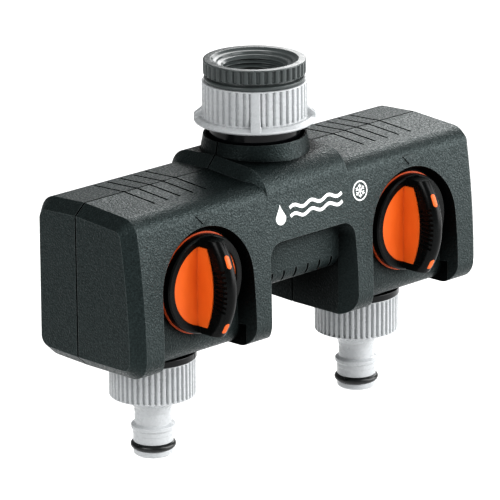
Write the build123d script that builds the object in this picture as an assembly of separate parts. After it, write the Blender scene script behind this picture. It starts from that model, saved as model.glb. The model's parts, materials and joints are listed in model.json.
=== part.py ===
from build123d import *
import math
import os

# Two-way garden tap manifold: one threaded inlet feeds two quarter-turn angle
# valves, each with a quick-connect hose nipple underneath.
#
# Frame, in millimetres: +Z up, +X along the body, -Y is the side with the knobs.
# The origin is on the inlet axis, at the seat where the tap's end face rests.
# The body is symmetric about the plane X = 0 and splits in two at the plane Y = 0.

# ---- driving dimensions ---------------------------------------------------------
OUTLET_X = 57.4          # half the distance between the two outlets
KNOB_Z = -61.8           # height of the valve and knob axes

# Inlet stack, from the top down
RIM_Z = 11.7             # top of the thread adapter
KNURL_R = 20.5
KNURL_BOTTOM = 5.75
ADAPTER_LIP_TOP = 5.1
NUT_TOP = 3.1
ADAPTER_BOTTOM = -6.0
WASHER_T = 2.0
SPIGOT_TOP = -8.05
CLIP_TOP = -9.2          # groove for the ring that keeps the union nut on
CLIP_LOW = -10.6
NUT_BOTTOM = -13.6
NUT_R = 20.9
NUT_FLANGE_R = 24.2
NUT_RIBS = 44            # rib places round the union nut
NUT_LUGS = (5, 16, 27, 38)
NUT_LUG_HALF = 2.4       # half the width of a lug
NUT_TURN = 3.2           # how far the nut happens to be turned, degrees
G34_MINOR_R = 12.1       # bore of the 3/4 inch tap thread
G34_MAJOR_R = 13.2
G1_R = 16.3              # bore of the 1 inch thread, drawn plain
SPIGOT_R = 14.4
SPIGOT_BORE_R = 9.0
NECK_R = 18.4            # glossy shoulder seen between nut and housing
NECK_TOP = -14.1
FLANGE_R = 20.9          # flange that the housing's top holds down
FLANGE_TOP = -27.0
FLANGE_LOW = -29.0
PLUG_R = 11.9            # spigot's plug in the cross tube's socket
PLUG_END = -37.0

# Housing
WALL = 2.5
BODY_HALF = 96.4         # half the length over the end plates
END_CHAMFER_X = 5.0
END_CHAMFER_R = 4.4
TOP_Z = -28.1
BOTTOM_Z = -93.7
FRONT_Y = -33.8
REAR_Y = 25.4
HUMP_TOP_Z = -23.5
HUMP_HALF = 26.2
COLLAR_TOP = -18.5
COLLAR_R = 20.6
COLLAR_HOLE_R = 19.7
EDGE_R = 8.5             # rounding along the lower edges
SEAM_GROOVE = 0.35
RELIEF = 0.6             # depth of the grooves, and height the posts stop under the skin
MARK_LIFT = 0.35         # how far the raised marks stand out
GROOVE_W = 1.0

# Knob pockets in the front
POCKET_FLOOR_Y = -26.8
POCKET_EDGE_R = 9.5      # rounding of the pocket floor's lower edge
POCKET_R = 21.2
POCKET_TAPER = 27.0
HUB_HOLE_R = 9.2

# Bridge between the two valve housings
GAP_HALF = 20.4          # half the clear width under the bridge
BRIDGE_FRONT_Y = -26.0
BRIDGE_REAR_Y = 18.5
BRIDGE_TOP_Z = -56.4
BRIDGE_BOTTOM_Z = -74.0

# Cross tube
TUBE_Z = -43.2
TUBE_R = 8.5
TUBE_BORE_R = 5.8
SADDLE_X = 15.5          # ribs that hold the cross tube

# Valve
CHAMBER_R = 11.0
VALVE_R = 15.5
BALL_R = 10.5
BALL_BORE_R = 5.5
SEAT_R = 8.0
SEAT_REACH = 12.4        # from the ball's centre to the back of a seat
SOCKET_R = 8.6
SOCKET_OUTER_R = 10.8
PASSAGE_R = 6.0
VALVE_TOP = -32.6
VALVE_LOW = -86.0
BODY_FRONT_Y = -17.0
BODY_REAR_Y = 14.5
TUBE_END_X = 42.8        # end of the manifold tube inside the valve socket
SOCKET_MOUTH_X = 36.5
BONNET_R = 14.6
BONNET_Y = -22.4
STEM_R = 4.0
STEM_END_Y = -31.0
STEM_SQUARE = 5.4
STUB_PLUG_R = 9.0
OUTLET_NECK_R = 13.2
OUTLET_THREAD_R = 13.0
OUTLET_FLANGE_R = 17.7
OUTLET_DISH_R = 16.6     # the flange is dished inside a thin lip
OUTLET_DISH_Z = -95.9
NECK_RING_R = 13.7       # fine rings round the outlet's neck
OUTLET_FLANGE_TOP = -95.1
OUTLET_FLANGE_BOTTOM = -97.8
STUB_END = -110.6

# Hose connectors
CONNECTOR_TOP = -98.0
CONNECTOR_R = 17.2
CONNECTOR_BORE_R = 13.1
CONNECTOR_SEAT = -112.6
NIPPLE_TIP = -138.5
NIPPLE_BORE_R = 5.0
NIPPLE_LAND_R = 7.95
RING_GROOVE_R = 6.4
RING_Z = -134.4
RING_SECTION_R = 1.3

# Knob
HUB_R = 9.13
HUB_END_Y = -22.7
HUB_GROOVE_R = 8.2       # groove for the ring that keeps the knob in the housing
HUB_GROOVE_LOW = 23.4
HUB_GROOVE_TOP = 24.2
KNOB_BACK_Y = -27.1
KNOB_R = 20.3            # over the orange ring at the knob's back
COVER_R = 19.7
RING_SEAT_R = 19.2       # step the orange ring sits on
RING_SEAT_TOP = 27.8
WINDOW_R = 16.4
FACE_Y = -30.6           # floor of the coloured half-moons
FIN_TOP_Y = -46.8
FIN_CREST_R = 31.0       # side-view radius of the grip's crest
FIN_HALF_BASE = 3.7
FIN_HALF_TOP = 3.2
FIN_LENGTH_R = 19.3
FLANK_T = 0.7            # thickness of the orange flanks on the grip
FLANK_CREST_R = 37.0
FLANK_TOP_Y = -39.0
NOTCH_W = 1.1            # finger notches in the grip's sides
NOTCH_DEPTH = 0.7
NOTCH_PITCH = 2.2

# Screws
SCREW_SITES = [(x * side, z) for side in (-1, 1) for x, z in ((85, -39), (85, -83), (9, -65), (30, -82))]
SCREW_HEAD_R = 3.0
SCREW_R = 1.45
SCREW_HEAD_Y = 15.0
SCREW_TIP_Y = -12.0


# ---- helpers --------------------------------------------------------------------
def turned(points):
    """Solid of revolution about Z from a closed outline of (radius, z) points."""
    outline = Polyline([(r, 0, z) for r, z in points], close=True)
    return revolve(make_face(outline), Axis.Z)


def tube_z(r_out, r_in, z_low, z_high):
    """Ring or disc about the Z axis."""
    height = z_high - z_low
    solid = Pos(0, 0, z_low + height / 2) * Cylinder(r_out, height)
    if r_in > 0:
        solid -= Pos(0, 0, z_low + height / 2) * Cylinder(r_in, height + 1)
    return solid


def rod_y(radius, y_low, y_high, x=0.0, z=0.0):
    """Cylinder along Y."""
    length = y_high - y_low
    return Pos(x, y_low + length / 2, z) * Rot(90, 0, 0) * Cylinder(radius, length)


def rod_x(radius, x_low, x_high, y=0.0, z=0.0):
    """Cylinder along X."""
    length = x_high - x_low
    return Pos(x_low + length / 2, y, z) * Rot(0, 90, 0) * Cylinder(radius, length)


def block(x0, x1, y0, y1, z0, z1):
    """Box between two corners."""
    size = Box(x1 - x0, y1 - y0, z1 - z0)
    return Pos((x0 + x1) / 2, (y0 + y1) / 2, (z0 + z1) / 2) * size


def o_ring(ring_r, section_r, z):
    """Torus about the Z axis."""
    return Pos(0, 0, z) * Torus(ring_r, section_r)


def ribbed_disc(root_r, rib_r, count, z_low, z_high, skip=()):
    """Round bar with half-round ribs along it, leaving out the ribs whose number is in skip."""
    outline = Circle(root_r)
    ribs = [
        Pos(root_r * math.cos(a), root_r * math.sin(a)) * Circle(rib_r)
        for a in (math.tau * i / count for i in range(count) if i not in skip)
    ]
    return extrude(Pos(0, 0, z_low) * (outline + ribs), z_high - z_low)


def prism_x(outline, half):
    """Face drawn in the YZ plane, extruded the same distance both ways along X."""
    return extrude(outline, half, dir=(1, 0, 0), both=True)


def facing(solid, side):
    """Turn a piece drawn about Z to point out of the front at one valve."""
    return Pos(side * OUTLET_X, 0, KNOB_Z) * Rot(90, 0, 0) * solid


def mirrored(solid):
    """The same piece on the other side of the plane X = 0."""
    return mirror(solid, about=Plane.YZ)


# ---- housing --------------------------------------------------------------------
def rounded(points, rounds):
    """Closed wire in the YZ plane through (y, z) points, some corners rounded."""
    wire = Wire(Polyline([(0, y, z) for y, z in points], close=True).edges())
    return round_corners(wire, rounds)


def round_corners(wire, rounds):
    """Round the corners of a wire in the YZ plane that lie at the given points."""
    for (y, z), radius in rounds:
        corner = [v for v in wire.vertices() if (v.center() - Vector(0, y, z)).length < 0.01]
        wire = wire.fillet_2d(radius, corner)
    return wire


def shrunk(wire, inset):
    """Face inside a wire, moved in by a distance."""
    face = make_face(wire)
    return offset(face, -inset, kind=Kind.INTERSECTION) if inset else face


def body_outline(inset):
    """Side view of the housing's end lobes: top falls away from the seam, front leans out."""
    top_front = (-28.4, TOP_Z - 1.8)
    low_front = (FRONT_Y, BOTTOM_Z + 0.6)
    low_rear = (REAR_Y, BOTTOM_Z + 0.6)
    top_rear = (REAR_Y - 0.4, TOP_Z - 1.4)
    at = lambda p: (0, p[0], p[1])
    edges = [
        Line(at((0, TOP_Z)), at(top_front)),
        ThreePointArc(at(top_front), (0, -32.2, -56.5), at(low_front)),
        Line(at(low_front), at((0, BOTTOM_Z))),
        Line(at((0, BOTTOM_Z)), at(low_rear)),
        Line(at(low_rear), at(top_rear)),
        Line(at(top_rear), at((0, TOP_Z))),
    ]
    rounds = [(top_front, 7.5), (low_front, EDGE_R), (low_rear, EDGE_R), (top_rear, 8.5)]
    return shrunk(round_corners(Wire(edges), rounds), inset)


def hump_outline(inset):
    """Side view of the raised middle, which runs into the front face lower down."""
    top_front = (-28.7, HUMP_TOP_Z - 2.0)
    low_front = (-29.6, -38.5)
    foot = (-20.0, -52.0)
    low_rear = (REAR_Y - 0.15, -52.0)
    top_rear = (REAR_Y - 0.35, HUMP_TOP_Z - 1.6)
    points = [(0, HUMP_TOP_Z), top_front, low_front, foot, low_rear, top_rear]
    return shrunk(rounded(points, [(top_front, 11.0), (top_rear, 10.0)]), inset)


def tapered_bar(outline, half, length_x, length_r):
    """Bar along X whose two ends taper in."""
    bar = prism_x(outline, half)
    for which in (0, -1):
        end = bar.faces().sort_by(Axis.X)[which]
        bar = chamfer(end.edges(), length_r, length_x, reference=end)
    return bar


def pocket_tool(side, grow):
    """Arch-shaped knob pocket, open at the bottom, its walls spreading towards the front."""
    radius = POCKET_R + grow
    plane = Plane(origin=(0, POCKET_FLOOR_Y + grow, KNOB_Z), x_dir=(1, 0, 0), z_dir=(0, -1, 0))
    arch = Pos(side * OUTLET_X, 0) * (Circle(radius) + Pos(0, -30) * Rectangle(2 * radius, 60))
    return extrude(plane * arch, 14, taper=-POCKET_TAPER)


def floor_rounding(side, grow):
    """Sliver cut off along the lower edge of a pocket floor, so that the edge is round."""
    y = POCKET_FLOOR_Y + grow
    z = BOTTOM_Z + 0.5 + grow
    radius = POCKET_EDGE_R
    half = POCKET_R + 2.0 + grow
    x0 = side * OUTLET_X - half
    x1 = side * OUTLET_X + half
    corner = block(x0, x1, y - 3, y + radius, z - 3, z + radius)
    return corner - rod_x(radius, x0 - 1, x1 + 1, y + radius, z + radius)


def gap_tool(grow):
    """Space under the bridge between the two lobes, and the window above it front and back."""
    half = GAP_HALF + grow
    low = BOTTOM_Z - 20
    top = BRIDGE_TOP_Z + grow
    front = Plane(origin=(0, BRIDGE_FRONT_Y + grow, 0), x_dir=(1, 0, 0), z_dir=(0, -1, 0))
    rear = Plane(origin=(0, BRIDGE_REAR_Y - grow, 0), x_dir=(-1, 0, 0), z_dir=(0, 1, 0))
    panel = Pos(0, (top + low) / 2) * RectangleRounded(2 * half, top - low, 3.2)
    tool = extrude(front * panel, 14, taper=-POCKET_TAPER)
    tool += extrude(rear * panel, 14, taper=-POCKET_TAPER)
    y0 = BRIDGE_FRONT_Y + grow
    y1 = BRIDGE_REAR_Y - grow
    edge_z = BRIDGE_BOTTOM_Z + grow
    radius = 6.0
    bridge = block(-half - 1, half + 1, y0, y1, edge_z, top + 5)
    low_edges = bridge.edges().filter_by(Axis.X).group_by(Axis.Z)[0]
    bridge = fillet(low_edges, radius)
    passage = block(-half, half, y0 - 1, y1 + 1, low, edge_z + radius + 1)
    return tool + (passage - bridge)


def housing_solid(inset):
    """Outer form of the closed housing, or the same form moved in by a distance."""
    if inset == WALL:
        solid = tapered_bar(body_outline(inset), BODY_HALF - inset, 4.0, 2.0)
        solid += prism_x(hump_outline(inset), HUMP_HALF - inset - 3.0)
    else:
        solid = tapered_bar(body_outline(inset), BODY_HALF - inset, END_CHAMFER_X, END_CHAMFER_R)
        solid += tapered_bar(hump_outline(inset), HUMP_HALF - inset, 4.0, 4.5)
        low = TOP_Z - 4
        spread = (COLLAR_TOP - low) * math.tan(math.radians(11))
        cone = Cone(COLLAR_R - inset + spread, COLLAR_R - inset, COLLAR_TOP - low)
        solid += Pos(0, 0, (COLLAR_TOP + low) / 2) * cone
    for side in (-1, 1):
        solid -= pocket_tool(side, inset)
        solid -= floor_rounding(side, inset)
    solid -= gap_tool(inset)
    return solid


def index_triangle(side):
    """Prism that the raised triangle above a knob is cut from."""
    x = side * OUTLET_X
    triangle = Polyline([(x - 3.2, -34.2), (x + 3.2, -34.2), (x, -37.7)], close=True)
    plane = Plane(origin=(0, -20, 0), x_dir=(1, 0, 0), z_dir=(0, -1, 0))
    return extrude(plane * make_face(triangle), 20)


def surface_marks():
    """Tools for the grooves in the housing's skin; the caller limits their depth."""
    marks = []
    for side in (-1, 1):
        for k in range(-2, 3):
            x = side * OUTLET_X + 6.8 * k
            marks.append(block(x - GROOVE_W / 2, x + GROOVE_W / 2, -17.5, 17.0, -40, -20))
    for k in (-5, -3, -1, 1, 3, 5):
        x = 3.3 * k
        marks.append(block(x - GROOVE_W / 2, x + GROOVE_W / 2, -30, -21, -72.5, -68.0))
    seam = block(-100, 100, -SEAM_GROOVE, SEAM_GROOVE, -120, 0)
    return marks + [seam]


def screw_posts(inner):
    """Posts that the housing screws run through, from the front wall to the back wall."""
    posts = [rod_y(3.9, FRONT_Y, REAR_Y, x, z) for x, z in SCREW_SITES]
    return [post & inner for post in posts]


def saddles(inner):
    """Ribs that carry the cross tube and the valves."""
    ribs = []
    for side in (-1, 1):
        x = side * SADDLE_X
        rib = block(x - 1, x + 1, FRONT_Y, REAR_Y, -55, FLANGE_LOW - 0.05)
        ribs.append(rib - rod_x(TUBE_R + 0.03, x - 3, x + 3, 0, TUBE_Z))
        x = side * OUTLET_X
        shelf = block(x - 27, x + 27, FRONT_Y, REAR_Y, -82.0, -80.0)
        ribs.append(shelf - Pos(x, 0, 0) * tube_z(OUTLET_NECK_R + 0.04, 0, -90, -70))
    return [rib & inner for rib in ribs]


def housing():
    """Both shells as one hollow piece, before it is split at the seam."""
    outer = housing_solid(0)
    inner = housing_solid(RELIEF)
    solid = outer - housing_solid(WALL)
    solid += [Pos(0, -MARK_LIFT, 0) * outer & index_triangle(side) for side in (-1, 1)]
    solid -= [index_triangle(side) & housing_solid(WALL) for side in (-1, 1)]
    solid += screw_posts(inner) + saddles(inner)
    for mark in surface_marks():
        solid -= mark - inner
    solid -= tube_z(COLLAR_HOLE_R, 0, FLANGE_TOP, 0)
    solid -= tube_z(FLANGE_R + 0.05, 0, FLANGE_LOW - 0.05, FLANGE_TOP + 0.03)
    for side in (-1, 1):
        x = side * OUTLET_X
        solid -= rod_y(HUB_HOLE_R, -40, -20, x, KNOB_Z)
        solid -= Pos(x, 0, 0) * tube_z(OUTLET_NECK_R + 0.4, 0, -110, -83)
    for x, z in SCREW_SITES:
        solid -= rod_y(1.5, SCREW_TIP_Y - 1, 0, x, z)
        solid -= rod_y(1.7, 0, 20, x, z)
        solid -= rod_y(SCREW_HEAD_R + 0.2, SCREW_HEAD_Y - 2.0, 40, x, z)
    return solid


def shells():
    """Front and rear shell, 0.02 mm apart at the seam."""
    whole = housing()
    front = whole & block(-120, 120, -60, -0.01, -120, 0)
    rear = whole & block(-120, 120, 0.01, 60, -120, 0)
    return front, rear


# ---- inlet ----------------------------------------------------------------------
def inlet_adapter():
    """Reducer: 3/4 inch female above, 1 inch male below, knurled rim."""
    rim = ribbed_disc(KNURL_R - 0.7, 0.7, 50, KNURL_BOTTOM, RIM_Z - 0.7)
    core = turned([
        (0, RIM_Z), (KNURL_R - 0.7, RIM_Z), (KNURL_R - 0.35, RIM_Z - 0.7), (KNURL_R - 0.7, RIM_Z - 1.4),
        (KNURL_R - 0.7, KNURL_BOTTOM), (18.9, KNURL_BOTTOM), (18.9, ADAPTER_LIP_TOP), (20.1, ADAPTER_LIP_TOP),
        (20.1, NUT_TOP + 0.1), (G1_R - 0.2, NUT_TOP + 0.1), (G1_R - 0.2, ADAPTER_BOTTOM), (0, ADAPTER_BOTTOM),
    ])
    solid = rim + core
    solid -= tube_z(G34_MINOR_R, 0, -WASHER_T, RIM_Z + 1)
    solid -= turned([
        (0, RIM_Z + 1), (17.3, RIM_Z + 1), (16.7, RIM_Z), (16.3, RIM_Z - 0.9), (15.1, RIM_Z - 1.2),
        (14.7, RIM_Z - 2.0), (G34_MAJOR_R, RIM_Z - 2.2), (G34_MINOR_R, RIM_Z - 3.3), (0, RIM_Z - 3.3),
    ])
    solid -= tube_z(G34_MAJOR_R + 0.05, 0, -WASHER_T, 0)
    solid -= tube_z(8.0, 0, ADAPTER_BOTTOM - 1, 0)
    return solid


def tap_washer():
    """Flat washer under the tap's end face."""
    return tube_z(G34_MAJOR_R, 8.4, -WASHER_T + 0.02, -0.02)


def inlet_washer():
    """Flat washer between adapter and spigot."""
    return tube_z(G1_R - 0.4, 9.4, SPIGOT_TOP + 0.02, ADAPTER_BOTTOM - 0.02)


def inlet_nut():
    """Union nut with four broad lugs that flare into the bottom flange."""
    skip = [lug + k for lug in NUT_LUGS for k in (-1, 0, 1)]
    solid = ribbed_disc(NUT_R - 0.75, 0.75, NUT_RIBS, -11.2, NUT_TOP, skip)
    solid += turned([(0, -11.2), (22.6, -11.2), (23.6, -11.6), (NUT_FLANGE_R, -12.4),
                     (NUT_FLANGE_R, -13.0), (23.4, NUT_BOTTOM), (0, NUT_BOTTOM)])
    side_view = Polyline([(15, NUT_TOP), (NUT_R, NUT_TOP), (NUT_R + 0.4, -5.5), (22.4, -8.0),
                          (23.9, -9.6), (23.9, -12.4), (15, -12.4)], close=True)
    lug = extrude(Plane.XZ * make_face(side_view), NUT_LUG_HALF, both=True)
    for number in NUT_LUGS:
        solid += Rot(0, 0, 360 * number / NUT_RIBS) * lug
    solid -= tube_z(G1_R, 0, CLIP_LOW - 0.05, NUT_TOP + 1)
    solid -= tube_z(SPIGOT_R + 0.06, 0, NUT_BOTTOM - 1, 0)
    return Rot(0, 0, NUT_TURN) * solid


def nut_retaining_ring():
    """Split ring in the spigot's groove; the nut's shoulder pulls against it."""
    ring = tube_z(G1_R - 0.3, 13.05, CLIP_LOW + 0.02, CLIP_TOP - 0.02)
    return ring - block(10, 20, -1.2, 1.2, -20, 0)


def inlet_spigot():
    """Neck that the nut swivels on, with the flange that the housing holds."""
    solid = turned([
        (0, SPIGOT_TOP), (SPIGOT_R, SPIGOT_TOP), (SPIGOT_R, CLIP_TOP), (13.0, CLIP_TOP), (13.0, CLIP_LOW),
        (SPIGOT_R, CLIP_LOW), (SPIGOT_R, NECK_TOP), (NECK_R, NECK_TOP), (NECK_R, FLANGE_TOP),
        (FLANGE_R, FLANGE_TOP), (FLANGE_R, FLANGE_LOW), (PLUG_R, FLANGE_LOW), (PLUG_R, -31.4),
        (10.3, -31.4), (10.3, -33.8), (PLUG_R, -33.8), (PLUG_R, PLUG_END), (0, PLUG_END),
    ])
    return solid - tube_z(SPIGOT_BORE_R, 0, PLUG_END - 1, 0)


def spigot_o_ring():
    """Seal between spigot and cross tube."""
    return o_ring(11.13, 0.8, -32.6)


def manifold_tube():
    """Cross tube with the socket for the spigot in the middle."""
    solid = rod_x(TUBE_R, -TUBE_END_X, TUBE_END_X, 0, TUBE_Z)
    solid += tube_z(14.2, 0, TUBE_Z - 9.5, FLANGE_LOW - 0.04)
    solid -= rod_x(TUBE_BORE_R, -TUBE_END_X - 1, TUBE_END_X + 1, 0, TUBE_Z)
    solid -= tube_z(SPIGOT_BORE_R, 0, TUBE_Z - 6.5, -20)
    solid -= tube_z(PLUG_R + 0.04, 0, PLUG_END - 0.05, -20)
    for side in (-1, 1):
        x = side * (TUBE_END_X - 3.0)
        solid -= rod_x(20, x - 1, x + 1, 0, TUBE_Z) - rod_x(7.0, x - 2, x + 2, 0, TUBE_Z)
    return solid


def tube_o_ring(side):
    """Seal between cross tube and valve."""
    return Pos(side * (TUBE_END_X - 3.0), 0, TUBE_Z) * Rot(0, 90, 0) * Torus(7.8, 0.79)


# ---- valve ----------------------------------------------------------------------
def valve_body():
    """Right valve: socket towards the middle, ball chamber open to the front, outlet below."""
    x = OUTLET_X
    solid = rod_y(VALVE_R, BODY_FRONT_Y, BODY_REAR_Y, x, KNOB_Z)
    solid += Pos(x, 0, 0) * tube_z(12.2, 0, KNOB_Z, VALVE_TOP)
    solid += Pos(x, 0, 0) * tube_z(OUTLET_NECK_R, 0, VALVE_LOW, KNOB_Z)
    solid += rod_x(SOCKET_OUTER_R, SOCKET_MOUTH_X, x, 0, TUBE_Z)
    solid -= rod_y(CHAMBER_R, BODY_FRONT_Y - 1, BODY_REAR_Y - 3.2, x, KNOB_Z)
    solid -= Pos(x, 0, 0) * tube_z(SEAT_R + 0.03, 0, KNOB_Z - SEAT_REACH - 0.03, KNOB_Z + SEAT_REACH + 0.03)
    solid -= Pos(x, 0, 0) * tube_z(PASSAGE_R, 0, VALVE_LOW - 1, TUBE_Z + 2)
    solid -= Pos(x, 0, TUBE_Z + 2) * Sphere(PASSAGE_R)
    solid -= rod_x(PASSAGE_R, SOCKET_MOUTH_X - 1, x, 0, TUBE_Z)
    solid -= rod_x(SOCKET_R, SOCKET_MOUTH_X - 1, TUBE_END_X + 0.2, 0, TUBE_Z)
    solid -= Pos(x, 0, 0) * tube_z(STUB_PLUG_R + 0.03, 0, VALVE_LOW - 1, -77.6)
    return solid


def ball():
    """Ported ball, bore upright when the valve is open."""
    solid = Sphere(BALL_R) - tube_z(BALL_BORE_R, 0, -20, 20)
    solid -= block(-6.6, 6.6, -12, -7.4, -1.55, 1.55)
    return Pos(OUTLET_X, 0, KNOB_Z) * solid


def seat(up):
    """Ring the ball seals against; up is +1 above the ball and -1 below it."""
    ring = tube_z(SEAT_R, BALL_BORE_R + 0.1, 6.9, SEAT_REACH) - Sphere(BALL_R + 0.02)
    if up < 0:
        ring = Rot(180, 0, 0) * ring
    return Pos(OUTLET_X, 0, KNOB_Z) * ring


def bonnet():
    """Cap screwed into the valve's front; it carries the stem."""
    solid = turned([
        (0, 11.5), (CHAMBER_R - 0.04, 11.5), (CHAMBER_R - 0.04, 17.03), (BONNET_R, 17.03),
        (BONNET_R, 20.0), (8.6, 20.0), (8.6, -BONNET_Y), (0, -BONNET_Y),
    ])
    solid -= tube_z(6.3, 0, 11, 13.5)
    solid -= tube_z(STEM_R + 0.05, 0, 11, 30)
    solid -= tube_z(5.65, 0, 16.0, 18.4)
    return facing(solid, 1)


def stem():
    """Stem: tongue in the ball's slot, collar behind the bonnet, square end in the knob."""
    solid = tube_z(STEM_R, 0, 10.9, -BONNET_Y + 0.1)
    solid += tube_z(6.2, 0, 11.55, 13.45)
    solid += block(-6.1, 6.1, -1.5, 1.5, 7.45, 11.6) & tube_z(6.2, 0, 0, 20)
    half = STEM_SQUARE / 2
    solid += block(-half, half, -half, half, -BONNET_Y, -STEM_END_Y)
    return facing(solid, 1)


def stem_o_ring():
    """Seal round the stem."""
    return facing(o_ring(4.83, 0.8, 17.2), 1)


def outlet_stub():
    """Stub with the 3/4 inch male thread that the hose connector screws on to."""
    solid = turned([
        (0, -78.2), (STUB_PLUG_R, -78.2), (STUB_PLUG_R, -80.4), (7.6, -80.4), (7.6, -82.6),
        (STUB_PLUG_R, -82.6), (STUB_PLUG_R, VALVE_LOW - 0.03), (OUTLET_NECK_R, VALVE_LOW - 0.03),
        (OUTLET_NECK_R, OUTLET_DISH_Z), (OUTLET_DISH_R, OUTLET_DISH_Z),
        (OUTLET_DISH_R, OUTLET_FLANGE_TOP), (OUTLET_FLANGE_R, OUTLET_FLANGE_TOP),
        (OUTLET_FLANGE_R, OUTLET_FLANGE_BOTTOM), (OUTLET_THREAD_R, OUTLET_FLANGE_BOTTOM),
        (OUTLET_THREAD_R, STUB_END + 1.0), (OUTLET_THREAD_R - 1.0, STUB_END), (0, STUB_END),
    ])
    for z in (-94.2, -95.0):
        solid += tube_z(NECK_RING_R, OUTLET_NECK_R - 0.5, z - 0.2, z + 0.2)
    return Pos(OUTLET_X, 0, 0) * (solid - tube_z(PASSAGE_R, 0, STUB_END - 1, -70))


def stub_o_ring():
    """Seal between valve and stub."""
    return Pos(OUTLET_X, 0, 0) * o_ring(8.31, 0.69, -81.5)


# ---- hose connector -------------------------------------------------------------
def connector():
    """Tap connector: ribbed nut above, quick-connect nipple below."""
    ribs = ribbed_disc(CONNECTOR_R - 0.55, 0.55, 46, -113.0, CONNECTOR_TOP)
    flow = turned([
        (0, CONNECTOR_TOP), (CONNECTOR_R - 0.55, CONNECTOR_TOP), (CONNECTOR_R - 0.55, -113.0),
        (13.2, -114.6), (10.2, -115.8), (8.6, -117.0), (7.6, -118.6), (7.2, -120.6), (7.2, -125.3),
        (8.0, -125.7), (8.75, -126.1), (8.75, -127.4), (8.1, -128.1), (8.1, -129.7), (NIPPLE_LAND_R, -129.9),
        (NIPPLE_LAND_R, -133.0), (RING_GROOVE_R, -133.0), (RING_GROOVE_R, -135.8), (NIPPLE_LAND_R, -135.8),
        (NIPPLE_LAND_R, NIPPLE_TIP + 0.8), (7.2, NIPPLE_TIP), (0, NIPPLE_TIP),
    ])
    solid = ribs + flow
    solid -= tube_z(CONNECTOR_BORE_R, 0, CONNECTOR_SEAT, CONNECTOR_TOP + 1)
    solid -= tube_z(NIPPLE_BORE_R, 0, NIPPLE_TIP - 1, CONNECTOR_TOP)
    return Pos(OUTLET_X, 0, 0) * solid


def connector_washer():
    """Flat washer that the stub's end presses on."""
    return Pos(OUTLET_X, 0, 0) * tube_z(12.9, 6.4, CONNECTOR_SEAT + 0.02, STUB_END - 0.02)


def connector_o_ring():
    """Seal on the hose nipple."""
    return Pos(OUTLET_X, 0, 0) * o_ring(RING_GROOVE_R + RING_SECTION_R + 0.01, RING_SECTION_R, RING_Z)


# ---- knob -----------------------------------------------------------------------
def wheel(half_low, half_top, crest_r):
    """Disc across X with a round rim, centred where the crest's arc is; the grip is cut from it."""
    flank_r = crest_r - half_top
    edges = [
        Line((0, 0, 6.0), (half_low, 0, 6.0)),
        Line((half_low, 0, 6.0), (half_top, 0, flank_r)),
        ThreePointArc((half_top, 0, flank_r), (0, 0, crest_r), (-half_top, 0, flank_r)),
        Line((-half_top, 0, flank_r), (-half_low, 0, 6.0)),
        Line((-half_low, 0, 6.0), (0, 0, 6.0)),
    ]
    disc = revolve(make_face(Wire(edges)), Axis.X)
    return Pos(0, 0, -FIN_TOP_Y - FIN_CREST_R) * disc


def grip_region(radius, z_low):
    """Space above a height and inside a radius."""
    return tube_z(radius, 0, z_low, 60)


def knob():
    """Black knob: rim, dished face, grip and the hub behind it."""
    solid = turned([
        (0, -HUB_END_Y), (HUB_R, -HUB_END_Y), (HUB_R, HUB_GROOVE_LOW), (HUB_GROOVE_R, HUB_GROOVE_LOW),
        (HUB_GROOVE_R, HUB_GROOVE_TOP), (HUB_R, HUB_GROOVE_TOP), (HUB_R, -KNOB_BACK_Y),
        (RING_SEAT_R, -KNOB_BACK_Y), (RING_SEAT_R, RING_SEAT_TOP), (COVER_R, RING_SEAT_TOP),
        (COVER_R, 30.6), (COVER_R - 0.6, 31.2), (WINDOW_R + 0.3, 31.2), (WINDOW_R, 30.9),
        (WINDOW_R, 28.6), (0, 28.6),
    ])
    grip = wheel(FIN_HALF_BASE, FIN_HALF_TOP, FIN_CREST_R) & grip_region(FIN_LENGTH_R, 28.0)
    core = wheel(FIN_HALF_BASE - NOTCH_DEPTH, FIN_HALF_TOP - NOTCH_DEPTH, FIN_CREST_R + 2)
    for k in range(-4, 5):
        angle = math.degrees(k * NOTCH_PITCH / FIN_CREST_R)
        slab = block(-10, 10, -NOTCH_W / 2, NOTCH_W / 2, FIN_CREST_R - 7, FIN_CREST_R + 5)
        grip -= Pos(0, 0, -FIN_TOP_Y - FIN_CREST_R) * Rot(angle, 0, 0) * slab - core
    solid += grip - tube_z(WINDOW_R, 0, 20, -FACE_Y + 0.02)
    half = STEM_SQUARE / 2 + 0.03
    solid -= block(-half, half, -half, half, 20, -STEM_END_Y + 0.1)
    return facing(solid, 1)


def knob_insert():
    """Orange inlay: a plate under the grip that shows as two half-moons, with flanks up the grip."""
    solid = tube_z(WINDOW_R - 0.02, 0, 28.62, -FACE_Y)
    flank = wheel(FIN_HALF_BASE + FLANK_T, FIN_HALF_TOP + FLANK_T, FIN_CREST_R + 2)
    flank &= grip_region(WINDOW_R - 0.02, 28.62)
    solid += flank & rod_x(FLANK_CREST_R, -20, 20, 0, -FLANK_TOP_Y - FLANK_CREST_R)
    hollow = wheel(FIN_HALF_BASE + 0.02, FIN_HALF_TOP + 0.02, FIN_CREST_R + 5)
    solid -= hollow & grip_region(30, -FACE_Y)
    half = STEM_SQUARE / 2 + 0.3
    solid -= block(-half, half, -half, half, 20, -FACE_Y + 1)
    return facing(solid, 1)


def knob_ring():
    """Orange ring line round the knob's edge."""
    return facing(tube_z(KNOB_R, RING_SEAT_R + 0.02, 0.02 - KNOB_BACK_Y, RING_SEAT_TOP - 0.02), 1)


def knob_clip():
    """Split ring that keeps the knob's hub in the housing."""
    ring = tube_z(10.6, HUB_GROOVE_R + 0.05, HUB_GROOVE_LOW + 0.02, HUB_GROOVE_TOP - 0.02)
    return facing(ring - block(6, 12, -3, 3, 20, 30), 1)


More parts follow.
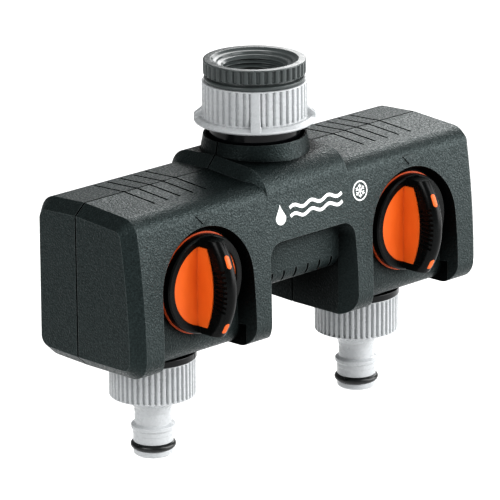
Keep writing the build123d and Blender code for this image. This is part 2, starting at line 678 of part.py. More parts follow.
# ---- screws ---------------------------------------------------------------------
def housing_screws():
    """The screws that hold the two shells together, as one group."""
    screws = []
    for x, z in SCREW_SITES:
        shank = rod_y(SCREW_R, SCREW_TIP_Y, SCREW_HEAD_Y - 1, x, z)
        head = rod_y(SCREW_HEAD_R, SCREW_HEAD_Y - 1.95, SCREW_HEAD_Y, x, z)
        slot_1 = block(x - 1.8, x + 1.8, SCREW_HEAD_Y - 0.9, SCREW_HEAD_Y + 1, z - 0.4, z + 0.4)
        slot_2 = block(x - 0.4, x + 0.4, SCREW_HEAD_Y - 0.9, SCREW_HEAD_Y + 1, z - 1.8, z + 1.8)
        screws.append(shank + head - slot_1 - slot_2)
    return Compound(children=screws)


# ---- write the parts ------------------------------------------------------------
def pieces():
    """Every piece with the name of its node."""
    front, rear = shells()
    yield "front_shell", front
    yield "rear_shell", rear
    singles = (inlet_adapter, tap_washer, inlet_washer, inlet_nut, nut_retaining_ring, inlet_spigot,
               spigot_o_ring, manifold_tube, housing_screws)
    for make in singles:
        yield make.__name__, make()
    pairs = (valve_body, ball, bonnet, stem, stem_o_ring, outlet_stub, stub_o_ring, connector,
             connector_washer, connector_o_ring, knob, knob_insert, knob_ring, knob_clip)
    for make in pairs:
        solid = make()
        yield "right_" + make.__name__, solid
        yield "left_" + make.__name__, mirrored(solid)
    for name, up in (("upper_seat", 1), ("lower_seat", -1)):
        yield "right_" + name, seat(up)
        yield "left_" + name, mirrored(seat(up))
    yield "right_tube_o_ring", tube_o_ring(1)
    yield "left_tube_o_ring", tube_o_ring(-1)


os.makedirs("parts", exist_ok=True)
for name, solid in pieces():
    export_step(solid, "parts/" + name + ".step")
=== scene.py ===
import json
import math

import bpy
from mathutils import Matrix, Vector
from mathutils.bvhtree import BVHTree

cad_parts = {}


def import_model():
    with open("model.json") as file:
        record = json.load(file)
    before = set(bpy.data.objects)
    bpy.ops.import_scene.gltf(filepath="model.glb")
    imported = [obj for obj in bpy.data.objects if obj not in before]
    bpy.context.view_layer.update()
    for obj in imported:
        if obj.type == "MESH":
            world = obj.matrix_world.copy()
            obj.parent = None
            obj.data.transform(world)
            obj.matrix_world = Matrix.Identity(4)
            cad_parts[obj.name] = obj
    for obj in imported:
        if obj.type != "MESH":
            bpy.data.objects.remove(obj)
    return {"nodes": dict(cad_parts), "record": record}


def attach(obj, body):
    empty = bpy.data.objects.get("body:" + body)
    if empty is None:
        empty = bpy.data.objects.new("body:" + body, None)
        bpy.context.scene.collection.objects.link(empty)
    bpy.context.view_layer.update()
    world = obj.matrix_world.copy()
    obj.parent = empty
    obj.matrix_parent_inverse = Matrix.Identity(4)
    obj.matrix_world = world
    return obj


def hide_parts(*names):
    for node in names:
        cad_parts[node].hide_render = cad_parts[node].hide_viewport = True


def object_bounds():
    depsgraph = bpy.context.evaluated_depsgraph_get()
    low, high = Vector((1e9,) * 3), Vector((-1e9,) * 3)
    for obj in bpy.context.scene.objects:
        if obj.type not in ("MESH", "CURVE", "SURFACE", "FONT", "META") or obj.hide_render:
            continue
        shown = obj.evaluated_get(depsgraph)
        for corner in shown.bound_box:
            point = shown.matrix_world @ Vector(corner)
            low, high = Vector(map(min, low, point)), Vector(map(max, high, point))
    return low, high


# Two-way garden tap manifold. The frame gives the shapes; this script adds the detailed ribbed,
# knurled and threaded pieces, the printed symbols, the marks on the grips, every material, the
# light and the camera.

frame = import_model()
cad_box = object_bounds()
NODES = frame["nodes"]
MM = 0.001
TURN = 2 * math.pi
SIDES = ("left", "right")

# ---- sizes in millimetres, in the part's own frame --------------------------------
OUTLET_X = 57.4
KNOB_Z = -61.8
G34_PITCH = 1.814
G34_DEPTH = 1.1                         # the tap thread in the adapter
OUTLET_THREAD_DEPTH = 0.95              # the threads between stubs and connectors
G1_PITCH = 2.309
G1_DEPTH = 1.3
THREAD_FLAT = 0.18                      # how much of a thread's height is cut flat at root and crest

ADAPTER_TOP = 11.7
ADAPTER_END = -6.0
KNURL_R = 20.4
KNURL_LOW = 6.0
KNURL_DEPTH = 1.1
KNURLS = 40
ADAPTER_THREAD_R = 16.1
ADAPTER_THREAD_TOP = 3.25
TAP_BORE_R = 12.1

STUB_END = -110.6
STUB_TOP = -78.2
STUB_THREAD_R = 13.0
STUB_FLANGE_R = 17.7
STUB_FLANGE_LOW = -97.8
STUB_FLANGE_TOP = -95.1
STUB_PLUG_R = 9.0                       # the end that goes up into the valve body
STUB_BORE_R = 6.5
NECK_R = 13.2
NECK_RING_R = 14.3

CONNECTOR_TOP = -98.0
CONNECTOR_R = 17.15
CONNECTOR_BORE_R = 13.1
CONNECTOR_RIBS = 46
CONNECTOR_RIB_DEPTH = 1.05
NIPPLE_R = 7.95
NIPPLE_END = -138.5

NUT_TOP = 3.1
NUT_END = -13.6
NUT_R = 20.9
NUT_FLANGE_R = 24.2
NUT_RIBS = 44
NUT_RIB_DEPTH = 1.0
NUT_LUGS = (5, 16, 27, 38)              # the ribs that carry a lug
NUT_TURN = math.radians(5.5)

PRINT_START_Y = -0.09                   # metres; prints are laid from here towards the housing
PRINT_STEP = 0.008                      # strokes drawn one after another lie this much apart
FROST_CENTRE = (28.3, -42.5)
DROP_X = -16.2
DROP_LOW = -47.0
DROP_TALL = 8.0
DROP_ROWS = 28
DROP_BELLY_Z = -44.25
DROP_BELLY_R = 2.75
DROP_NECK_Z = -43.3                     # the round belly ends and the point begins
WAVE_START = -11
WAVE_Z = -41.2
WAVE_GAP = 3.4
WAVE_LENGTH = 9.6
WAVE_SWING = 0.75
WAVE_STEP = 0.5
WAVE_STEPS = 58
WAVE_WIDTH = 1.35
MARK_SHIFT = -0.7                       # the grips' marks lie this far along X from the knob's axis

# ---- camera and light, lengths in metres ------------------------------------------
VIEW_AZIMUTH = math.radians(44.28)      # to the left of straight ahead
VIEW_ELEVATION = math.radians(17.28)
VIEW_ROLL = math.radians(0.46)
VIEW_DISTANCE = 1.7199
VIEW_HEIGHT = -0.0625                   # height of the point that the view turns about
VIEW_SHIFT = (-0.00234, -0.00475)       # that point's place in the picture, in metres
FOCAL_RATIO = 8.624                     # focal length over picture width
FLOOR_DROP = 0.12                       # the floor lies this far under the hose nipples
FLOOR_HALF = 6.0
SENSOR_WIDTH = 36.0                     # millimetres


# ---- mesh helpers -----------------------------------------------------------------
def soften(points, radius, steps=4):
    """Closed outline with each corner rounded, as far as its two sides leave room."""
    outline = []
    for i, point in enumerate(points):
        here = Vector(point)
        back = Vector(points[i - 1]) - here
        ahead = Vector(points[(i + 1) % len(points)]) - here
        corner = back.angle(ahead)
        if corner > math.radians(172):
            outline.append(here)
            continue
        reach = min(radius / math.tan(corner / 2), 0.45 * back.length, 0.45 * ahead.length)
        start = here + back.normalized() * reach
        end = here + ahead.normalized() * reach
        for k in range(steps + 1):
            t = k / steps
            outline.append(start * (1 - t) ** 2 + here * 2 * t * (1 - t) + end * t * t)
    return outline


def subdivided(points, step):
    """Closed outline with no side longer than step."""
    outline = []
    for i, point in enumerate(points):
        ahead = points[(i + 1) % len(points)]
        count = max(1, math.ceil((ahead - point).length / step))
        outline += [point.lerp(ahead, k / count) for k in range(count)]
    return outline


def mesh_piece(name, points, faces, sharp_degrees=35):
    """Smooth-shaded object from points in millimetres."""
    mesh = bpy.data.meshes.new(name)
    mesh.from_pydata([Vector(p) * MM for p in points], [], faces)
    mesh.validate()
    mesh.shade_smooth()
    mesh.set_sharp_from_angle(angle=math.radians(sharp_degrees))
    piece = bpy.data.objects.new(name, mesh)
    bpy.context.scene.collection.objects.link(piece)
    return piece


def turned_piece(name, outline, columns, shape, x=0.0):
    """Closed ring of quads: an outline of (radius, z) carried round Z, its radius changed by shape."""
    points = []
    for k in range(columns):
        angle = TURN * k / columns
        for radius, z in outline:
            r = shape(radius, z, angle)
            points.append((x + r * math.cos(angle), r * math.sin(angle), z))
    n = len(outline)
    faces = []
    for k in range(columns):
        here = k * n
        ahead = (k + 1) % columns * n
        for i in range(n):
            j = (i + 1) % n
            faces.append((here + i, here + j, ahead + j, ahead + i))
    return mesh_piece(name, points, faces)


def ramp(value, low, high):
    """0 below low, 1 above high, smooth between."""
    t = min(1.0, max(0.0, (value - low) / (high - low)))
    return t * t * (3 - 2 * t)


def window(value, low, high, soft):
    """1 between low and high, falling to 0 over soft outside them."""
    return ramp(value, low - soft, low) * (1 - ramp(value, high, high + soft))


def thread_wave(z, angle, pitch):
    """Right-hand thread's flank, 0 at the root and 1 at the crest, with flats at both."""
    phase = (z / pitch - angle / TURN) % 1.0
    triangle = 1 - abs(2 * phase - 1)
    return min(1.0, max(0.0, (triangle - THREAD_FLAT) / (1 - 2 * THREAD_FLAT)))


def rib_wave(angle, count, valley=0.4):
    """Ribs round an axis, 1 on their flat crowns and 0 in valleys that take up this share of the pitch."""
    off = abs((angle * count / TURN) % 1.0 - 0.5)       # 0 in a valley's middle
    return ramp(off, 0.12 * valley, 0.75 * valley)


# ---- materials --------------------------------------------------------------------
class Shader:
    """Small helper that builds one node material on Principled BSDF."""

    def __init__(self, name, roughness, specular=0.5, **fixed):
        self.material = bpy.data.materials.new(name)
        self.material.use_nodes = True
        self.tree = self.material.node_tree
        self.bsdf = self.tree.nodes["Principled BSDF"]
        self.bsdf.inputs["Roughness"].default_value = roughness
        self.bsdf.inputs["Specular IOR Level"].default_value = specular
        for socket, value in fixed.items():
            self.bsdf.inputs[socket.replace("_", " ")].default_value = value
        self.coords = self.tree.nodes.new("ShaderNodeTexCoord").outputs["Object"]

    def node(self, kind, **settings):
        made = self.tree.nodes.new(kind)
        for key, value in settings.items():
            setattr(made, key, value)
        return made

    def link(self, source, target):
        self.tree.links.new(source, target)

    def stretched(self, scale):
        """Object coordinates scaled differently along X, Y and Z."""
        mapping = self.node("ShaderNodeMapping")
        mapping.inputs["Scale"].default_value = scale
        self.link(self.coords, mapping.inputs["Vector"])
        return mapping.outputs["Vector"]

    def noise(self, size_mm, detail=2.0, rough=0.5, vector=None):
        """Noise whose blobs are about size_mm across."""
        noise = self.node("ShaderNodeTexNoise")
        noise.inputs["Scale"].default_value = 1.0 / (size_mm * MM)
        noise.inputs["Detail"].default_value = detail
        noise.inputs["Roughness"].default_value = rough
        self.link(vector or self.coords, noise.inputs["Vector"])
        return noise.outputs["Fac"]

    def cells(self, size_mm):
        """Rounded cells of a moulded grain."""
        cells = self.node("ShaderNodeTexVoronoi", feature="SMOOTH_F1")
        cells.inputs["Scale"].default_value = 1.0 / (size_mm * MM)
        self.link(self.coords, cells.inputs["Vector"])
        return cells.outputs["Distance"]

    def spread(self, source, low, high, out_low, out_high):
        """Source from low..high mapped to out_low..out_high, clamped."""
        mapped = self.node("ShaderNodeMapRange")
        for key, value in (("From Min", low), ("From Max", high), ("To Min", out_low), ("To Max", out_high)):
            mapped.inputs[key].default_value = value
        self.link(source, mapped.inputs["Value"])
        return mapped.outputs["Result"]

    def blend(self, factor, first, second):
        """Colour between first and second, each a colour or a socket."""
        mix = self.node("ShaderNodeMix", data_type="RGBA")
        self.link(factor, mix.inputs["Factor"])
        for socket, value in ((mix.inputs[6], first), (mix.inputs[7], second)):
            if isinstance(value, tuple):
                socket.default_value = (*value, 1.0)
            else:
                self.link(value, socket)
        return mix.outputs[2]

    def edges(self, radius_mm, amount):
        """This amount on sharp edges and 0 on flats, from the bevelled normal."""
        bevel = self.node("ShaderNodeBevel", samples=4)
        bevel.inputs["Radius"].default_value = radius_mm * MM
        geometry = self.node("ShaderNodeNewGeometry")
        dot = self.node("ShaderNodeVectorMath", operation="DOT_PRODUCT")
        self.link(bevel.outputs["Normal"], dot.inputs[0])
        self.link(geometry.outputs["Normal"], dot.inputs[1])
        return self.spread(dot.outputs["Value"], 0.985, 0.85, 0.0, amount)

    def openness(self, reach_mm, low, high):
        """0 deep in a recess and 1 out in the open, from what stands within reach; used to paint shade into
        recesses.
        """
        occlusion = self.node("ShaderNodeAmbientOcclusion", samples=8)
        occlusion.inputs["Distance"].default_value = reach_mm * MM
        return self.spread(occlusion.outputs["AO"], low, high, 0.0, 1.0)

    def colour(self, socket):
        self.link(socket, self.bsdf.inputs["Base Color"])

    def roughness(self, socket):
        self.link(socket, self.bsdf.inputs["Roughness"])

    def bump(self, height, strength, depth_mm, normal=None):
        """Bump from a height, stacked on another bump's normal if given."""
        bump = self.node("ShaderNodeBump")
        bump.inputs["Strength"].default_value = strength
        bump.inputs["Distance"].default_value = depth_mm * MM
        self.link(height, bump.inputs["Height"])
        if normal is not None:
            self.link(normal, bump.inputs["Normal"])
        self.link(bump.outputs["Normal"], self.bsdf.inputs["Normal"])
        return bump.outputs["Normal"]

    def rounded_normal(self, radius_mm):
        """Normal that looks rounded over sharp edges."""
        bevel = self.node("ShaderNodeBevel", samples=6)
        bevel.inputs["Radius"].default_value = radius_mm * MM
        return bevel.outputs["Normal"]


def grained_plastic():
    """Dark grey housing: spark-eroded grain, faint speckle, edges painted paler as a highlight and painted
    shade in recesses.
    """
    shader = Shader("housing_grain", 0.55, 0.29, Specular_Tint=(0.82, 1.0, 1.0, 1.0))
    speckle = shader.noise(0.65, 2.0, 0.6)
    cloud = shader.noise(28.0, 3.0)
    dark = (0.001, 0.003, 0.003)
    light = (0.012, 0.018, 0.018)
    grain = shader.blend(shader.spread(speckle, 0.38, 0.66, 0.0, 1.0), dark, light)
    scuffed = shader.blend(shader.spread(cloud, 0.4, 0.7, 0.0, 0.2), grain, (0.013, 0.018, 0.018))
    # painted highlight: sharp edges are painted a paler grey, standing in for the light they catch.
    painted_edge_highlight = shader.blend(shader.edges(0.45, 1.0), scuffed, (0.085, 0.097, 0.097))
    # painted shade: where recesses, the bridge and nearby parts close in, the colour is painted almost black
    # and the reflections are dimmed.
    open_to_light = shader.openness(55.0, 0.55, 0.93)
    shader.colour(shader.blend(open_to_light, (0.0005, 0.0008, 0.0008), painted_edge_highlight))
    shine = shader.spread(open_to_light, 0.0, 1.0, 0.02, 0.30)
    shader.link(shine, shader.bsdf.inputs["Specular IOR Level"])
    shader.roughness(shader.spread(shader.noise(0.7, 2.0), 0.36, 0.64, 0.28, 0.64))
    first = shader.bump(shader.cells(0.7), 0.9, 0.2, shader.rounded_normal(0.35))
    shader.bump(shader.noise(0.45, 2.0), 0.7, 0.14, first)
    return shader.material


def moulded_plastic(name, dark, light, rough, specular, round_mm=0.25, grain_mm=0.6,
                    grain_depth=0.02, painted_edge_highlight=0.0):
    """Smooth moulded plastic: slight flow marks, fine haze, softened edges and, if asked, edges painted
    paler as a highlight.
    """
    shader = Shader(name, rough, specular)
    flow = shader.noise(9.0, 4.0, 0.55, shader.stretched((1.0, 1.0, 0.35)))
    colour = shader.blend(shader.spread(flow, 0.3, 0.7, 0.0, 1.0), dark, light)
    # painted highlight: sharp edges are painted a paler grey, standing in for the light they catch.
    if painted_edge_highlight:
        colour = shader.blend(shader.edges(0.3, painted_edge_highlight), colour, (0.20, 0.215, 0.215))
    shader.colour(colour)
    haze = shader.noise(2.4, 5.0, 0.65)
    shader.roughness(shader.spread(haze, 0.3, 0.75, rough - 0.06, rough + 0.08))
    shader.bump(shader.noise(grain_mm, 3.0), 0.4, grain_depth, shader.rounded_normal(round_mm))
    return shader.material


def rubber():
    """Black rubber with a soft bloom and a faint mould texture."""
    shader = Shader("rubber_black", 0.5, 0.4)
    bloom = shader.noise(3.0, 4.0, 0.6)
    patches = shader.spread(bloom, 0.45, 0.8, 0.0, 1.0)
    shader.colour(shader.blend(patches, (0.002, 0.003, 0.003), (0.012, 0.014, 0.014)))
    shader.roughness(shader.spread(bloom, 0.3, 0.7, 0.24, 0.42))
    shader.bump(shader.noise(0.35, 2.0), 0.3, 0.02)
    return shader.material


def zinc_steel():
    """Zinc-plated steel with drawn streaks and dull spots."""
    shader = Shader("zinc_steel", 0.35, 0.5, Metallic=1.0)
    streak = shader.noise(0.8, 4.0, 0.6, shader.stretched((1.0, 0.08, 1.0)))
    spot = shader.noise(1.8, 3.0)
    dulled = shader.spread(spot, 0.4, 0.7, 0.0, 1.0)
    shader.colour(shader.blend(dulled, (0.62, 0.62, 0.60), (0.44, 0.45, 0.46)))
    shader.roughness(shader.spread(streak, 0.3, 0.7, 0.26, 0.46))
    shader.bump(streak, 0.25, 0.02, shader.rounded_normal(0.15))
    return shader.material


def print_white():
    """White pad print, slightly thin over the grain."""
    shader = Shader("print_white", 0.5, 0.4)
    thin = shader.noise(0.5, 3.0, 0.6)
    see_through = shader.spread(thin, 0.55, 0.85, 0.0, 0.5)
    shader.colour(shader.blend(see_through, (0.80, 0.81, 0.80), (0.42, 0.44, 0.44)))
    shader.roughness(shader.spread(thin, 0.3, 0.7, 0.42, 0.6))
    shader.bump(thin, 0.2, 0.02)
    return shader.material


LOOKS = {
    "housing_grey": grained_plastic(),
    # black_plastic and gloss_black get their edges painted paler as a highlight.
    "black_plastic": moulded_plastic("black_plastic", (0.046, 0.053, 0.053), (0.062, 0.071, 0.071),
                                     0.2, 0.25, 0.12, painted_edge_highlight=0.5),
    "gloss_black": moulded_plastic("gloss_black", (0.001, 0.001, 0.002), (0.003, 0.004, 0.004),
                                   0.14, 0.24, painted_edge_highlight=0.7),
    "knob_black": moulded_plastic("knob_black", (0.001, 0.001, 0.001), (0.003, 0.004, 0.004), 0.30, 0.13),
    "light_grey": moulded_plastic("light_grey", (0.365, 0.378, 0.387), (0.41, 0.424, 0.433), 0.28, 0.5),
    "orange": moulded_plastic("orange", (0.61, 0.100, 0.010), (0.68, 0.124, 0.016), 0.38, 0.28),
    "rubber": rubber(),
    "steel": zinc_steel(),
    "valve_plastic": moulded_plastic("valve_plastic", (0.030, 0.030, 0.033), (0.055, 0.055, 0.060),
                                     0.45, 0.45),
    "ball_plastic": moulded_plastic("ball_plastic", (0.70, 0.70, 0.66), (0.78, 0.78, 0.74), 0.18, 0.5,
                                    round_mm=0.2, grain_mm=1.5, grain_depth=0.01),
    "seat_white": moulded_plastic("seat_white", (0.74, 0.74, 0.70), (0.84, 0.84, 0.80), 0.45, 0.4),
}
PRINT = print_white()
# painted shade: a darker copy of the orange for the knobs' rings, which sit shaded in the crevice between
# knob and housing.
SHADED_RING_LOOK = moulded_plastic("ring_orange_painted_shade", (0.36, 0.045, 0.006), (0.44, 0.060, 0.008), 0.38, 0.28)


def dress_frame():
    """Give every carried-over CAD node its material; the knobs' ring lines get a darker orange that paints
    the shade of their crevice.
    """
    for part in frame["record"]["subparts"]:
        node = NODES[part["node"]]
        look = SHADED_RING_LOOK if part["node"].endswith("_knob_ring") else LOOKS[part["material_slot"]]
        for slot in node.material_slots:
            slot.material = look


def settle(piece, body, slot, *replaced):
    """Material, body and replaced nodes of a new piece."""
    piece.data.materials.clear()
    piece.data.materials.append(LOOKS[slot])
    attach(piece, body)
    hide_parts(*replaced)


# ---- detailed pieces --------------------------------------------------------------
def outlet_x(side):
    """Where the left or the right outlet and knob stand along X."""
    return OUTLET_X if side == "right" else -OUTLET_X


def inlet_adapter():
    """Knurled reducer with real threads: 3/4 inch inside, 1 inch outside."""
    outline = soften([
        (17.3, ADAPTER_TOP), (KNURL_R, ADAPTER_TOP), (KNURL_R, KNURL_LOW), (18.3, KNURL_LOW),
        (18.3, 4.9), (20.1, 4.7), (20.1, ADAPTER_THREAD_TOP), (ADAPTER_THREAD_R, ADAPTER_THREAD_TOP),
        (ADAPTER_THREAD_R, ADAPTER_END), (8.0, ADAPTER_END), (8.0, -2.0), (13.25, -2.0), (13.25, 0.0),
        (TAP_BORE_R, 0.0), (TAP_BORE_R, 8.4), (13.2, 9.5), (14.7, 9.7), (15.1, 10.5), (16.3, 10.8),
    ], 0.45)
    outline = subdivided(outline, 0.16)

    def shape(radius, z, angle):
        if radius > 20.0 and z > 5.4:
            crown = window(z, 6.4, 10.9, 0.3)
            return radius - KNURL_DEPTH * crown * (1 - rib_wave(angle, KNURLS, 0.48))
        if 15.9 < radius < 16.2 and z < 3.0:
            cut = window(z, -5.2, 2.0, 0.6)
            return radius - G1_DEPTH * cut * (1 - thread_wave(z, angle, G1_PITCH))
        if radius < 13.3 and z > 0.05:
            cut = window(z, 0.7, 8.8, 0.7)
            wave = thread_wave(z, angle, G34_PITCH)
            return max(radius, TAP_BORE_R + G34_DEPTH * cut * (1 - wave))
        return radius

    piece = turned_piece("adapter_ring", outline, KNURLS * 10, shape)
    settle(piece, "adapter", "black_plastic", "inlet_adapter")


def outlet_stub(side):
    """Threaded stub with its flange and the grooved neck under the housing."""
    outline = soften([
        (STUB_BORE_R, STUB_END), (12.2, STUB_END), (STUB_THREAD_R, -109.6),
        (STUB_THREAD_R, STUB_FLANGE_LOW), (STUB_FLANGE_R, STUB_FLANGE_LOW),
        (STUB_FLANGE_R, STUB_FLANGE_TOP), (16.9, STUB_FLANGE_TOP), (16.5, -96.3), (NECK_R, -96.3),
        (NECK_R, -95.5), (NECK_RING_R, -95.4), (NECK_RING_R, -95.0), (NECK_R, -94.9),
        (NECK_R, -94.6), (NECK_RING_R, -94.5), (NECK_RING_R, -94.1), (NECK_R, -94.0),
        (NECK_R, -86.03), (STUB_PLUG_R, -86.03), (STUB_PLUG_R, -82.6), (7.6, -82.6), (7.6, -80.4),
        (STUB_PLUG_R, -80.4), (STUB_PLUG_R, STUB_TOP), (STUB_BORE_R, STUB_TOP),
    ], 0.3)
    outline = subdivided(outline, 0.25)

    def shape(radius, z, angle):
        if 12.0 < radius < 13.1 and z < -97.9:
            cut = window(z, -109.4, -98.6, 0.5)
            return radius - OUTLET_THREAD_DEPTH * cut * (1 - thread_wave(z, angle, G34_PITCH))
        return radius

    piece = turned_piece(side + "_threaded_stub", outline, 240, shape, outlet_x(side))
    settle(piece, "housing", "gloss_black", side + "_outlet_stub")


def connector(side):
    """Ribbed tap connector with its hose nipple."""
    outline = soften([
        (CONNECTOR_BORE_R, CONNECTOR_TOP), (CONNECTOR_R, CONNECTOR_TOP), (CONNECTOR_R, -113.2),
        (13.4, -114.6), (10.4, -115.6), (8.7, -116.9), (7.7, -118.6), (7.3, -120.6), (7.3, -125.2),
        (8.0, -125.6), (8.75, -126.0), (8.75, -127.3), (8.1, -128.0), (8.1, -129.7), (NIPPLE_R, -129.9),
        (NIPPLE_R, -133.0), (6.4, -133.0), (6.4, -135.8), (NIPPLE_R, -135.8), (NIPPLE_R, -137.7),
        (7.2, NIPPLE_END), (5.0, NIPPLE_END), (5.0, -112.6), (CONNECTOR_BORE_R, -112.6),
    ], 0.3)
    outline = subdivided(outline, 0.25)

    def shape(radius, z, angle):
        if radius > 16.0 and z > -114.0:
            crown = window(z, -112.6, -98.7, 0.3)
            return radius - CONNECTOR_RIB_DEPTH * crown * (1 - rib_wave(angle, CONNECTOR_RIBS, 0.42))
        if 13.0 < radius < 13.3 and z > -112.4:
            cut = window(z, -111.8, -98.9, 0.5)
            return radius + OUTLET_THREAD_DEPTH * cut * (1 - thread_wave(z, angle, G34_PITCH))
        return radius

    columns = CONNECTOR_RIBS * 9
    piece = turned_piece(side + "_hose_nipple", outline, columns, shape, outlet_x(side))
    settle(piece, side + "_connector_body", "light_grey", side + "_connector")


def inlet_nut():
    """Union nut: fine ribs between four smooth lugs that flare into the bottom flange."""
    outline = soften([
        (16.3, NUT_TOP), (NUT_R, NUT_TOP), (NUT_R, -11.2), (22.6, -11.3), (NUT_FLANGE_R, -12.4),
        (NUT_FLANGE_R, -13.0), (23.4, NUT_END), (14.46, NUT_END), (14.46, -10.65), (16.3, -10.65),
    ], 0.4)
    outline = subdivided(outline, 0.22)
    lug_angles = [TURN * n / NUT_RIBS + NUT_TURN for n in NUT_LUGS]

    def shape(radius, z, angle):
        if radius < 20.0 or z < -12.3:
            return radius
        off = min(abs((angle - lug + math.pi) % TURN - math.pi) for lug in lug_angles) * radius
        lug = 1 - ramp(off, 1.7, 2.2)
        flat = 1 - ramp(off, 2.5, 2.7)
        crown = window(z, -10.6, 2.3, 0.5)
        valley = 1 - rib_wave(angle - NUT_TURN, NUT_RIBS, 0.36)
        groove = NUT_RIB_DEPTH * (1 - flat) * valley + 0.8 * flat
        ribbed = radius - crown * groove
        flare = 3.3 * ramp(-z, 7.4, 11.0)
        return max(ribbed, min(24.15, ribbed * (1 - lug) + (20.95 + flare) * lug))

    piece = turned_piece("union_nut_ring", outline, NUT_RIBS * 14, shape)
    settle(piece, "union_nut", "light_grey", "inlet_nut")


# ---- printed symbols --------------------------------------------------------------
def surface_of(name):
    """Ray target on a CAD node, for laying prints on it."""
    mesh = NODES[name].data
    vertices = [v.co.copy() for v in mesh.vertices]
    return BVHTree.FromPolygons(vertices, [tuple(p.vertices) for p in mesh.polygons])


def arc(centre, radius, start, end, steps):
    """Points along an arc, angles in degrees."""
    angles = [math.radians(start + (end - start) * k / steps) for k in range(steps + 1)]
    return [(centre[0] + radius * math.cos(a), centre[1] + radius * math.sin(a)) for a in angles]


def sheet(rows):
    """Grid of (x, z) points from rows of equal length: its points and quads."""
    points = [p for row in rows for p in row]
    n = len(rows[0])
    quads = []
    for i in range(len(rows) - 1):
        for j in range(n - 1):
            quads.append((i * n + j, i * n + j + 1, (i + 1) * n + j + 1, (i + 1) * n + j))
    return points, quads


def stroke(line, width):
    """Ribbon of even width along a line of (x, z) points."""
    line = [Vector(p) for p in line]
    rows = []
    for i, point in enumerate(line):
        along = line[min(i + 1, len(line) - 1)] - line[max(i - 1, 0)]
        across = Vector((-along.y, along.x)).normalized() * width / 2
        rows.append([point + across * t for t in (-1, 0, 1)])
    return sheet(rows)


def capsule(centre, length, width):
    """Upright bar with rounded ends."""
    rows = []
    steps = 24
    half = length / 2
    for k in range(steps + 1):
        z = -half + length * k / steps
        over = max(0.0, abs(z) - (half - width / 2)) / (width / 2)
        reach = width / 2 * math.sqrt(max(0.02, 1 - over * over))
        rows.append([(centre[0] + reach * t, centre[1] + z) for t in (-1, -0.5, 0, 0.5, 1)])
    return sheet(rows)


def printed(name, sheets, target, body, paint, lift=0.04, sink=0.25):
    """Closed thin layer over the flat sheets, laid on the -Y side of the target."""
    points = []
    faces = []
    for number, (flat, quads) in enumerate(sheets):
        base = len(points)
        count = len(flat)
        depths = []
        for p in flat:
            start = Vector((p[0] * MM, PRINT_START_Y, p[1] * MM))
            hit = target.ray_cast(start, Vector((0, 1, 0)))[0]
            depths.append(hit.y / MM)
        step = PRINT_STEP * (number % 4)
        points += [(p[0], y - lift - step, p[1]) for p, y in zip(flat, depths)]
        points += [(p[0], y + sink, p[1]) for p, y in zip(flat, depths)]
        edges = {}
        for quad in quads:
            faces.append(tuple(base + i for i in quad))
            faces.append(tuple(base + count + i for i in reversed(quad)))
            for a, b in zip(quad, quad[1:] + quad[:1]):
                edges[(a, b)] = True
        for a, b in edges:
            if (b, a) not in edges:
                faces.append((base + b, base + a, base + count + a, base + count + b))
    piece = mesh_piece(name, points, faces, 60)
    piece.data.materials.append(paint)
    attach(piece, body)


def frost_symbol(target):
    """Ring with a six-armed star."""
    centre = Vector(FROST_CENTRE)
    sheets = [stroke(arc(centre, 3.75, 0, 360, 48), 0.6)]
    for k in range(6):
        arm = Vector((math.cos(math.radians(60 * k + 30)), math.sin(math.radians(60 * k + 30))))
        side = Vector((-arm.y, arm.x))
        sheets.append(stroke([centre, centre + arm * 2.7], 0.45))
        for turn in (-1, 1):
            sheets.append(stroke([centre + arm * 1.3, centre + arm * 2.2 + side * 0.8 * turn], 0.4))
    printed("frost_symbol", sheets, target, "housing", PRINT)


def water_symbol(target):
    """A solid drop beside two wavy lines, in the place of lettering."""
    rows = []
    for k in range(DROP_ROWS + 1):
        z = DROP_LOW + DROP_TALL * (k / DROP_ROWS)
        if z < DROP_NECK_Z:
            round_part = 1 - ((z - DROP_BELLY_Z) / DROP_BELLY_R) ** 2
            reach = DROP_BELLY_R * math.sqrt(max(0.0, round_part))
        else:
            reach = 2.6 * (1 - ramp(z, -44.6, -38.6)) + 0.05
        reach = max(reach, 0.05)
        rows.append([(DROP_X + reach * u, z) for u in (-1, -0.5, 0, 0.5, 1)])
    sheets = [sheet(rows)]
    for row in range(2):
        z = WAVE_Z - WAVE_GAP * row
        steps = [WAVE_START + WAVE_STEP * k for k in range(WAVE_STEPS + 1)]
        wave = [(x, z + WAVE_SWING * math.sin((x - WAVE_START) * TURN / WAVE_LENGTH)) for x in steps]
        sheets.append(stroke(wave, WAVE_WIDTH))
    printed("water_symbol", sheets, target, "housing", PRINT)


def crest_marks(side):
    """Two orange inlays near the ends of a knob's grip."""
    x = outlet_x(side) + MARK_SHIFT
    target = surface_of(side + "_knob")
    sheets = [capsule((x, KNOB_Z + 11.9), 5.0, 1.9), capsule((x, KNOB_Z - 15.2), 4.4, 1.9)]
    body = side + "_valve_core"
    printed(side + "_crest_marks", sheets, target, body, LOOKS["orange"], 0.06)


# ---- stage ------------------------------------------------------------------------
def floor(level):
    """Wide pale floor."""
    mesh = bpy.data.meshes.new("floor")
    corners = [(x * FLOOR_HALF, y * FLOOR_HALF, level) for x, y in ((-1, -1), (1, -1), (1, 1), (-1, 1))]
    mesh.from_pydata(corners, [], [(0, 1, 2, 3)])
    piece = bpy.data.objects.new("floor", mesh)
    bpy.context.scene.collection.objects.link(piece)
    shader = Shader("floor_white", 0.9, 0.0)
    cloud = shader.noise(180.0, 2.0)
    shader.colour(shader.blend(cloud, (0.89, 0.89, 0.89), (0.90, 0.90, 0.90)))
    mesh.materials.append(shader.material)


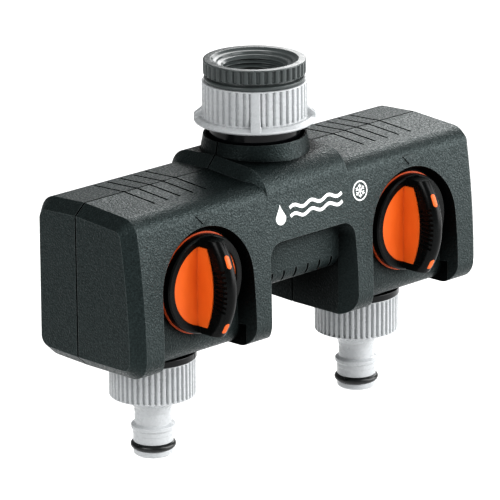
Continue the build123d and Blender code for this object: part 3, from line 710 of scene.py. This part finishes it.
def area_light(name, azimuth, elevation, distance, size, power):
    """Square soft light aimed at the object's middle; azimuth 0 is in front, positive to +X."""
    data = bpy.data.lights.new(name, "AREA")
    data.shape = "SQUARE"
    data.size = size
    data.energy = power
    light = bpy.data.objects.new(name, data)
    a = math.radians(azimuth)
    e = math.radians(elevation)
    place = Vector((math.sin(a) * math.cos(e), -math.cos(a) * math.cos(e), math.sin(e))) * distance
    aim = Vector((0, 0, VIEW_HEIGHT))
    light.location = aim + place
    light.rotation_euler = (-place).to_track_quat("-Z", "Y").to_euler()
    light.visible_camera = False
    bpy.context.scene.collection.objects.link(light)


def world(strength):
    """Even pale surroundings."""
    made = bpy.data.worlds.new("studio")
    made.use_nodes = True
    background = made.node_tree.nodes["Background"]
    background.inputs["Color"].default_value = (1, 1, 1, 1)
    background.inputs["Strength"].default_value = strength
    bpy.context.scene.world = made


def camera():
    """Camera at the reference view: left of the front, slightly above."""
    a, e, roll = VIEW_AZIMUTH, VIEW_ELEVATION, VIEW_ROLL
    back = Vector((-math.sin(a) * math.cos(e), -math.cos(a) * math.cos(e), math.sin(e)))
    right = Vector((math.cos(a), -math.sin(a), 0))
    up = back.cross(right)
    place = Vector((0, 0, VIEW_HEIGHT)) + right * VIEW_SHIFT[0] + up * VIEW_SHIFT[1] + back * VIEW_DISTANCE
    rolled_right = right * math.cos(roll) - up * math.sin(roll)
    rolled_up = right * math.sin(roll) + up * math.cos(roll)
    data = bpy.data.cameras.new("camera")
    data.sensor_width = SENSOR_WIDTH
    data.lens = SENSOR_WIDTH * FOCAL_RATIO
    data.clip_end = 30.0
    made = bpy.data.objects.new("camera", data)
    turn = Matrix((rolled_right, rolled_up, back)).transposed()
    made.matrix_world = Matrix.Translation(place) @ turn.to_4x4()
    bpy.context.scene.collection.objects.link(made)
    bpy.context.scene.camera = made


# ---- build ------------------------------------------------------------------------
dress_frame()
inlet_adapter()
inlet_nut()
for side in SIDES:
    outlet_stub(side)
    connector(side)
    crest_marks(side)
front = surface_of("front_shell")
frost_symbol(front)
water_symbol(front)

floor(cad_box[0][2] - FLOOR_DROP)
area_light("key", 15, 35, 1.5, 0.7, 11.5)
area_light("card", 46, 4, 2.25, 2.1, 88)
area_light("behind", 116, 34, 1.6, 1.1, 18)
area_light("fill", -84, 26, 1.6, 0.8, 14)
world(0.24)
camera()
bpy.context.scene.view_settings.view_transform = "Standard"
bpy.context.scene.view_settings.look = "Medium High Contrast"
